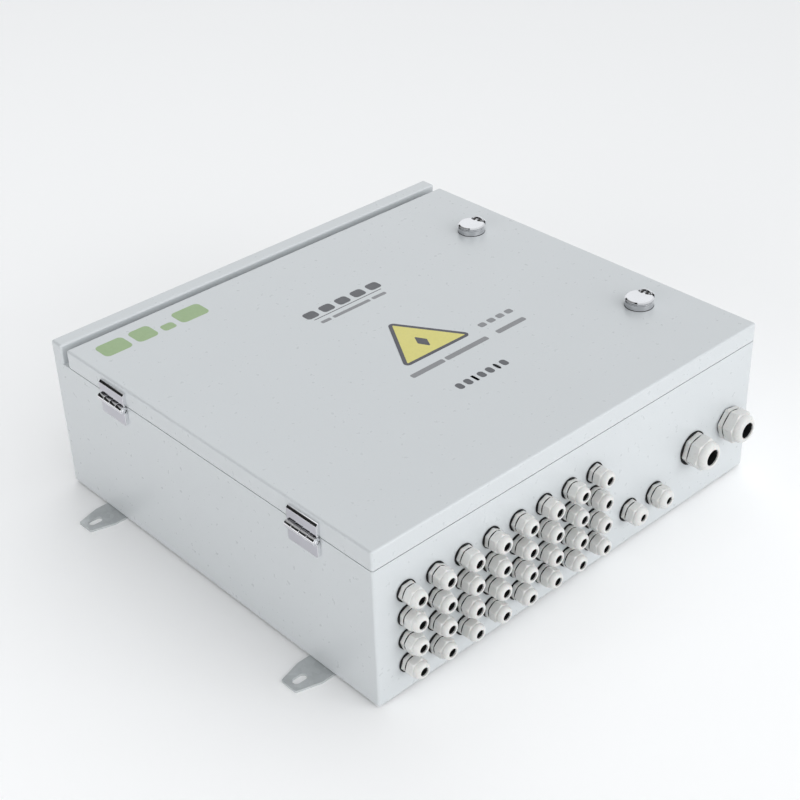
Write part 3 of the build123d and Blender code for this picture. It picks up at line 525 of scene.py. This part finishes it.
def make_hinges():
    """Both hinges: leaves with their knuckles, and the pins."""
    lo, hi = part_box("cabinet_hinge_leaves")
    centres = [lo.y + LEAF_W / 2 * MM, hi.y - LEAF_W / 2 * MM]
    to_axis = (HINGE_AXIS.x - SIDE_X) / MM
    for name, up in (("cabinet", -1), ("door", 1)):
        leaves = Shape()
        near, far = up * LEAF_NEAR, up * (LEAF_NEAR + LEAF_H)
        for y in centres:
            if up > 0:
                slope = LEAF_FALL * (LEAF_T - LEAF_BEVEL)
                outline = [(0, near), (-LEAF_T, near), (-LEAF_T, far - slope - LEAF_BEVEL),
                           (LEAF_BEVEL - LEAF_T, far - slope), (0, far)]
                leaves.prism(outline, -LEAF_W / 2, LEAF_W / 2, along_y(SIDE_X, y, HINGE_AXIS.z))
            else:
                half, r = LEAF_W / 2, LEAF_CORNER
                outline = [(-half, near), (half, near), *arc(half - r, far + r, r, 0, -90),
                           *arc(r - half, far + r, r, -90, -180)]
                leaves.prism(outline, -LEAF_T, 0, along_x(SIDE_X, y, HINGE_AXIS.z))
            pitch, gap = LEAF_W / KNUCKLES, 0.5
            for k in range(0 if up < 0 else 1, KNUCKLES, 2):
                start = -LEAF_W / 2 + k * pitch + gap / 2
                place = along_y(HINGE_AXIS.x, y, HINGE_AXIS.z)
                leaves.rod(KNUCKLE_R, start, start + pitch - gap, place, segments=40)
                back = -to_axis - 0.4
                web = [(0.5, 0), (back, 0), (back, near + up), (0.5, near + up)]
                leaves.prism(web, start, start + pitch - gap, place)
        leaves.bevel(0.3, segments=3)
        leaves.piece(name + "_hinge_leaves_fine", HINGE_CHROME, name, "hinge_chrome",
                     [name + "_hinge_leaves"])
    pins = Shape()
    for y in centres:
        pins.rod(PIN_R, -LEAF_W / 2 - 0.6, LEAF_W / 2 + 1.4, along_y(HINGE_AXIS.x, y, HINGE_AXIS.z),
                 ease=0.6)
    pins.piece("hinge_pins_fine", HINGE_CHROME, "cabinet", "hinge_chrome", ["hinge_pins"])


# ---------------------------------------------------------------- flat graphics on the door

INK_LOW, INK_HIGH = -0.04, 0.07


def rounded(points, radius, steps=6):
    """An outline with every corner replaced by an arc."""
    made = []
    for k, (x, y) in enumerate(points):
        corner = Vector((x, y))
        back = (Vector(points[k - 1]) - corner).normalized()
        ahead = (Vector(points[(k + 1) % len(points)]) - corner).normalized()
        half = back.angle(ahead) / 2
        centre = corner + (back + ahead).normalized() * radius / sin(half)
        start = corner + back * radius / tan(half) - centre
        end = corner + ahead * radius / tan(half) - centre
        swing = start.angle_signed(end)
        for s in range(steps + 1):
            made.append(tuple(centre + Matrix.Rotation(-swing * s / steps, 2) @ start))
    return made


def bar(x0, x1, y0, y1, r):
    """A bar with rounded corners."""
    return rounded([(x0, y0), (x1, y0), (x1, y1), (x0, y1)], r)


def print_on_door(name, outlines, ink, top=INK_HIGH):
    """Thin printed shapes on the door face, in millimetres of the shared frame."""
    shape = Shape()
    for outline in outlines:
        shape.prism(outline, INK_LOW, top, upright(0, 0, FACE_Z))
    return shape.piece(name, ink, "door", "label_yellow")


def dashes(x0, x1, y0, y1, lengths, gap):
    """A row of short bars that fills a span, with lengths in proportion."""
    unit = (x1 - x0 - gap * (len(lengths) - 1)) / sum(lengths)
    made, x = [], x0
    for length in lengths:
        made.append(bar(x, x + length * unit, y0, y1, 0.3 * (y1 - y0)))
        x += length * unit + gap
    return made


def make_graphics():
    """A triangle with a plain diamond, and plain bars where other prints would be."""
    corners = [(1.0, 25.0), (49.6, -55.6), (-47.0, -54.6)]
    centre = Vector((sum(x for x, _ in corners) / 3, sum(y for _, y in corners) / 3))
    inner = [tuple(centre + (Vector(c) - centre) * 0.845) for c in corners]
    frame_piece = print_on_door("triangle_border", [rounded(corners, 5.0)], DARK_INK, top=0.14)
    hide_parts("warning_label")
    print_on_door("triangle_field", [rounded(inner, 0.8, steps=3)], YELLOW, top=0.18)
    x, y = centre.x, centre.y - 1.0
    diamond = [(x - 6.5, y), (x, y - 12.5), (x + 6.5, y), (x, y + 12.5)]
    print_on_door("triangle_mark", [rounded(diamond, 1.0, steps=3)], DARK_INK, top=0.22)
    print_on_door("green_bars", [bar(-248, -214, 180, 206, 6), bar(-207, -181, 180, 206, 6),
                                 bar(-174, -158, 180, 193, 4), bar(-151, -114.5, 180, 206, 6)],
                  GREEN_INK)
    dark = dashes(-53, 53, 88.5, 102.5, (1, 1, 1, 1, 1), 6.0)
    dark += [bar(-49, 47, 84.0, 85.2, 0.3)]
    dark += dashes(-36, 34, -124, -113, (1, 1, 0.45, 1, 1, 0.6, 1), 4.0)
    print_on_door("dark_bars", dark, GREY_INK)
    fine = dashes(-47, 45, 72.5, 77.5, (2, 8, 3), 3.5)
    fine += dashes(-54, 54, -75.5, -68.5, (6, 8), 3.0) + dashes(68, 110, -75.5, -68.5, (5,), 3.0)
    fine += dashes(64, 113, -54, -46, (1, 1, 1, 1), 4.0)
    print_on_door("fine_bars", fine, FINE_INK)


# ---------------------------------------------------------------- CAD pieces that keep their mesh

FINISH = {
    "cabinet_body": PAINT, "gland_wall": PAINT, "rain_canopy": PAINT, "door_panel": PAINT,
    "mounting_lugs": GALVANISED, "lug_screws": ZINC,
    "cabinet_nuts": ZINC, "door_nuts": ZINC, "cabinet_hinge_leaves": HINGE_CHROME,
    "door_hinge_leaves": HINGE_CHROME, "hinge_pins": HINGE_CHROME, "door_gasket": FOAM,
    "door_stiffeners": GALVANISED, "warning_label": YELLOW, "lock_housings": LOCK_CHROME,
    "dust_cover_pins": ZINC, "dust_cover_springs": SPRING, "lock_plug_upper": LOCK_CHROME,
    "lock_plug_lower": LOCK_CHROME, "lock_cam_upper": ZINC, "lock_cam_lower": ZINC,
    "dust_cover_upper": LOCK_CHROME, "dust_cover_lower": LOCK_CHROME,
    "mounting_plate": GALVANISED, "plate_studs": ZINC, "din_rail": ZINC, "fuse_bases": DEVICE,
    "breaker_case": DEVICE, "breaker_handle": BLACK, "spd_base": DEVICE,
    "positive_busbar": COPPER, "negative_busbar": COPPER, "busbar_insulators": INSULATOR,
    "earth_bar": BRASS,
}
SOFT_EDGES = {"cabinet_body": 0.3, "gland_wall": 0.3, "rain_canopy": 0.3, "door_panel": 0.3,
              "mounting_lugs": 0.35, "lock_housings": 0.14, "dust_cover_upper": 0.12,
              "dust_cover_lower": 0.12, "breaker_case": 0.5, "breaker_handle": 0.6,
              "fuse_bases": 0.4, "spd_base": 0.4, "spd_cartridge_1": 0.4, "spd_cartridge_2": 0.4}


def finish_cad_nodes():
    """Materials, smooth shading and slightly rounded edges for the CAD's own meshes."""
    for name, node in nodes.items():
        if name.startswith("fuse_carrier_"):
            look = CARRIER
        elif name.startswith("fuse_links_"):
            look = CERAMIC
        elif name.startswith("spd_cartridge_"):
            look = CARTRIDGE
        else:
            look = FINISH.get(name, GLAND)
        node.data.materials.clear()
        node.data.materials.append(look)
        for face in node.data.polygons:
            face.use_smooth = True
        node.data.set_sharp_from_angle(angle=radians(30))
        width = SOFT_EDGES["fuse_bases"] if look is CARRIER else SOFT_EDGES.get(name)
        if width and not node.hide_render:
            rounding = node.modifiers.new("rounding", "BEVEL")
            rounding.width, rounding.segments = width * MM, 2
            rounding.limit_method, rounding.angle_limit = "ANGLE", radians(35)
            rounding.harden_normals = True


# ---------------------------------------------------------------- small parts on the equipment

def screw_head(shape, x, y, z, radius, height):
    """A round screw head with a hexagon socket, standing at a point in metres."""
    place, socket = upright(x, y, z), radius * 0.5

    def hexed(r, angle, _):
        return r / cos((angle % (pi / 3)) - pi / 6)

    rings = [(0.02, 0), (radius, 0), (radius, height - 0.35), (radius - 0.35, height),
             (socket + 0.25, height), (socket, height - 0.2, "hex"),
             (socket, height * 0.35, "hex"), (0.02, height * 0.35)]
    shape.ring_stack(rings, turns(36), place, hexed)


def make_fittings():
    """Terminal screws, tap bolts and copper pads on the equipment inside."""
    fuse_x = [JOINT[f"fuse_carrier_{i}_tilt"]["pos_m"][0] for i in range(1, 9)]
    base_lo, base_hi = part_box("fuse_bases")
    screws = Shape()
    for x in fuse_x:
        for dx in (-9.0, 9.0):
            for y in (base_lo.y + 5.5 * MM, base_hi.y - 5.5 * MM):
                screw_head(screws, x + dx * MM, y, base_hi.z - 21.9 * MM, 2.9, 2.6)
    busbars, bar_half = ("positive_busbar", "negative_busbar"), 7.5 * MM
    bar_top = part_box(busbars[0])[1].z
    taps = Shape()
    for node in busbars:
        bar_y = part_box(node)[1].y - bar_half
        for x in fuse_x:
            taps.rod(5.0, 0, 0.9, upright(x, bar_y, bar_top), segments=32)
            screw_head(taps, x, bar_y, bar_top + 0.9 * MM, 4.0, 3.4)
    case_lo, case_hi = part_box("breaker_case")
    pads = Shape()
    for node in busbars:
        leg_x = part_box(node)[1].x - bar_half
        screw_head(taps, leg_x, case_hi.y - 7.0 * MM, bar_top, 5.0, 4.5)
        pads.box((-8.0, 4.0, -8.9), (8.0, 22.0, -4.0), upright(leg_x, case_lo.y, bar_top))
        screw_head(taps, leg_x, case_lo.y + 13 * MM, bar_top - 4.0 * MM, 5.0, 4.5)
    earth_lo, earth_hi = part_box("earth_bar")
    inset, count = 18 * MM, 8
    pitch = (earth_hi.x - earth_lo.x - 2 * inset) / (count - 1)
    for k in range(count):
        screw_head(screws, earth_lo.x + inset + pitch * k, (earth_lo.y + earth_hi.y) / 2,
                   earth_hi.z, 3.4, 3.0)
    screws.piece("terminal_screws", ZINC, "cabinet", "zinc_steel")
    taps.piece("busbar_bolts", ZINC, "cabinet", "zinc_steel")
    pads.bevel(0.4).piece("breaker_pads", COPPER, "cabinet", "copper")


LINK_R = 5.15            # fuse links


def make_link_caps():
    """Plated end caps on the fuse links, riding with their carriers."""
    for i in range(1, 9):
        lo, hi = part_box(f"fuse_links_{i}")
        caps = Shape()
        for x in (lo.x + LINK_R * MM, hi.x - LINK_R * MM):
            caps.rod(LINK_R - 0.1, -0.4, 0.5, along_y(x, hi.y, (lo.z + hi.z) / 2), ease=0.35)
        caps.piece(f"fuse_link_caps_{i}", ZINC, f"fuse_carrier_{i}", "zinc_steel")


LOCK_R = 15.75           # lock collars


def make_lock_collar_shadows():
    """Thin black ring under each lock collar: a painted contact shadow where the collar meets the door."""
    edge = [(LOCK_R - 0.6, 0.0), (LOCK_R + 0.3, 0.0), (LOCK_R + 0.25, 0.45), (LOCK_R - 0.6, 0.45)]
    collar_shadows = Shape()
    for name in ("upper", "lower"):
        x, y, _ = JOINT[name + "_lock_turn"]["pos_m"]
        collar_shadows.ring_stack(edge, turns(64), upright(x, y, FACE_Z))
    # the black ring is painted contact shadow at the base of the collar
    collar_shadows.piece("lock_collar_shadows", WASHER_AND_COLLAR_SHADOW, "door", "black_rubber")


def make_state_windows():
    """A plain green flag in each surge cartridge's window."""
    for i in (1, 2):
        lo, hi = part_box(f"spd_cartridge_{i}")
        flag = Shape()
        flag.box((-2.8, 6.2, -2.4), (2.8, 11.8, -1.4),
                 upright((lo.x + hi.x) / 2, (lo.y + hi.y) / 2, hi.z))
        flag.bevel(0.2).piece(f"state_flag_{i}", FLAG, f"spd_cartridge_{i}", "cartridge_plastic")


make_glands()
make_hinges()
make_graphics()
make_fittings()
make_link_caps()
make_lock_collar_shadows()
make_state_windows()
finish_cad_nodes()


# ---------------------------------------------------------------- camera, lights and floor

def aim(azimuth, elevation, roll):
    """Camera rotation looking along an azimuth from +Y towards +X, and down by an elevation."""
    a, e, r = radians(azimuth), radians(elevation), radians(roll)
    forward = Vector((sin(a) * cos(e), cos(a) * cos(e), -sin(e)))
    level = Vector((cos(a), -sin(a), 0))
    lift = level.cross(forward)
    right = level * cos(r) + lift * sin(r)
    return Matrix((right, right.cross(forward), -forward)).transposed()


CAMERA_AT = (-0.9369, -1.0423, 1.0088)
camera = bpy.data.objects.new("camera", bpy.data.cameras.new("camera"))
camera.data.sensor_width = 36.0
camera.data.lens = 69.82
camera.data.clip_start, camera.data.clip_end = 0.05, 60.0
camera.matrix_world = (Matrix.Translation(CAMERA_AT)
                       @ aim(azimuth=41.753, elevation=33.04, roll=-2.06).to_4x4())
bpy.context.scene.collection.objects.link(camera)
bpy.context.scene.camera = camera


def area_light(name, at, target, size, power):
    """A soft rectangular light aimed at a point."""
    lamp = bpy.data.lights.new(name, "AREA")
    lamp.shape = "RECTANGLE"
    lamp.size, lamp.size_y = size
    lamp.energy = power
    made = bpy.data.objects.new(name, lamp)
    made.location = at
    made.rotation_euler = (Vector(target) - Vector(at)).to_track_quat("-Z", "Y").to_euler()
    bpy.context.scene.collection.objects.link(made)


area_light("front_softbox", (0.6, -2.6, 0.9), (0.05, -0.2, 0.08), (2.2, 1.4), 21.0)
area_light("left_softbox", (-2.8, 0.1, 0.9), (-0.2, 0.0, 0.05), (2.0, 1.6), 23.0)
area_light("top_softbox", (-0.5, 1.3, 2.3), (-0.1, 0.1, 0.1), (2.0, 2.0), 5.0)


DOME_LEVEL, DOME_COLOR = 1.13, (0.97, 0.985, 1.0, 1.0)
PANEL_AT, PANEL_LEVEL = (0.56, 0.62, 0.545), 1.34      # bright, seen in surfaces that face up
FLAG_AT, FLAG_LEVEL = (-0.58, 0.60, 0.55), 0.02        # dark, seen in the hinges' rounded edges


def studio_world():
    """Pale studio: plain for the camera, and for light a soft dome with a flag and a panel."""
    world = bpy.data.worlds.new("studio")
    bpy.context.scene.world = world
    world.use_nodes = True
    tree = world.node_tree
    tree.nodes.clear()

    ray = add_node(tree, "ShaderNodeTexCoord").outputs["Generated"]

    def patch(toward, start, end, level, base):
        """A level in one direction over a base, between two cosines of the angle from it."""
        near = add_node(tree, "ShaderNodeVectorMath", operation="DOT_PRODUCT")
        tree.links.new(ray, near.inputs[0])
        near.inputs[1].default_value = Vector(toward).normalized()
        blend = add_node(tree, "ShaderNodeMix")
        tree.links.new(add_range(tree, near.outputs["Value"], start, end, 0.0, 1.0),
                       blend.inputs["Factor"])
        blend.inputs[MIX_TO_VALUE].default_value = level
        if isinstance(base, float):
            blend.inputs[MIX_FROM_VALUE].default_value = base
        else:
            tree.links.new(base, blend.inputs[MIX_FROM_VALUE])
        return blend.outputs[MIX_VALUE_RESULT]

    panel = patch(PANEL_AT, 0.86, 0.94, PANEL_LEVEL, base=DOME_LEVEL)
    flagged = patch(FLAG_AT, 0.63, 0.67, FLAG_LEVEL, base=panel)
    dome = add_node(tree, "ShaderNodeBackground", Color=DOME_COLOR, Strength=flagged)
    backdrop = add_node(tree, "ShaderNodeBackground", Color=(1.0, 1.0, 1.0, 1.0), Strength=1.0)
    seen = add_node(tree, "ShaderNodeLightPath").outputs["Is Camera Ray"]
    mix = add_node(tree, "ShaderNodeMixShader")
    tree.links.new(seen, mix.inputs[0])
    tree.links.new(dome.outputs[0], mix.inputs[1])
    tree.links.new(backdrop.outputs[0], mix.inputs[2])
    add_node(tree, "ShaderNodeOutputWorld", Surface=mix.outputs[0])


studio_world()
bpy.context.scene.view_settings.view_transform = "Standard"

REACH = 14.0        # half a side of the floor
floor_mesh = bpy.data.meshes.new("floor")
floor_mesh.from_pydata([(-REACH, -REACH, 0), (REACH, -REACH, 0), (REACH, REACH, 0),
                        (-REACH, REACH, 0)], [], [(0, 1, 2, 3)])
floor_mesh.materials.append(Look("pale_floor", (0.97, 0.97, 0.97), 0.9).mat)
floor = bpy.data.objects.new("floor", floor_mesh)
bpy.context.scene.collection.objects.link(floor)
